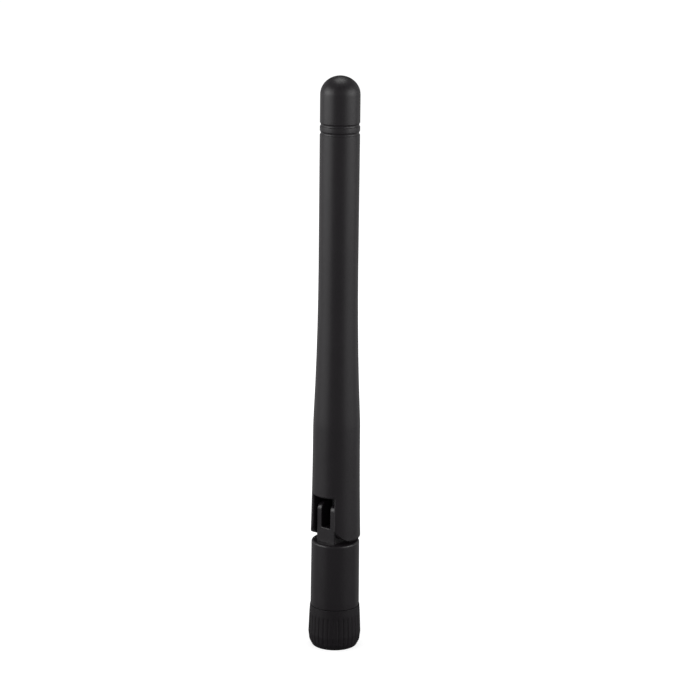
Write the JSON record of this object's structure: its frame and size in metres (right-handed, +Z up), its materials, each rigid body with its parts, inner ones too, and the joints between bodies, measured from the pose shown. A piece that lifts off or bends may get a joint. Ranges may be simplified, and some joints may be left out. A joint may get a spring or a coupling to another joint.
{
  "type": "omnidirectional antenna",
  "caption": "Slim black articulated whip antenna with a domed tip, a folding fork hinge, a swivelling base and a fluted coaxial coupling nut.",
  "frame": {"origin": "centre of the coupling nut's mouth, on the mast's axis", "axes": "+Z runs up the upright mast, X is the hinge axis, and the mast folds towards -Y, the side where the fork is open"},
  "size_m": [0.0098, 0.0098, 0.108],
  "materials": {
    "mast_plastic": "satin, fine moulded texture",
    "base_plastic": "satin, fine moulded texture",
    "grip_plastic": "satin, fine moulded texture",
    "plated_brass": "gold plated, smooth turned",
    "contact_gold": "gold plated, polished",
    "ptfe": "satin, slightly translucent white",
    "spring_bronze": "drawn phosphor bronze",
    "silicone": "matt red-brown silicone",
    "ferrule_copper": "crimped soft copper alloy",
    "heat_shrink": "semi-gloss polyolefin",
    "cable_jacket": "semi-gloss extruded",
    "tinned_braid": "woven tinned copper",
    "cable_core": "translucent white extruded",
    "silvered_wire": "silver plated wire",
    "brass": "drawn tube, lightly tarnished",
    "solder": "reflowed, bright",
    "foam": "closed-cell foam",
    "bush_rubber": "matt"
  },
  "bodies": {
    "coupling_nut": {"nut_grip": "grip_plastic", "nut_insert": "plated_brass"},
    "base": {"base_knuckle": "base_plastic", "connector_body": "plated_brass", "connector_insulator": "ptfe", "centre_contact": "contact_gold", "interface_gasket": "silicone", "retaining_ring": "spring_bronze", "crimp_ferrule": "ferrule_copper", "ferrule_heat_shrink": "heat_shrink", "coax_conductor": "silvered_wire", "coax_dielectric": "cable_core", "coax_braid": "tinned_braid", "coax_jacket": "cable_jacket"},
    "mast": {"mast_cover": "mast_plastic", "cable_anchor_bush": "bush_rubber", "sleeve_tube": "brass", "sleeve_end_cap": "brass", "sleeve_spacer": "foam", "solder_collar": "solder", "feed_heat_shrink": "heat_shrink", "radiator_rod": "brass", "tip_spacer": "foam"}
  },
  "joints": [
    {"name": "nut_swivel", "type": "hinge", "parent": "coupling_nut", "child": "base", "pos_m": [0, 0, 0.0064], "axis": [0, 0, 1], "continuous": true},
    {"name": "mast_tilt", "type": "hinge", "parent": "base", "child": "mast", "pos_m": [0, 0, 0.0254], "axis": [1, 0, 0], "range_deg": [0, 90], "deforming": ["coax_conductor", "coax_dielectric", "coax_braid", "coax_jacket"]}
  ]
}
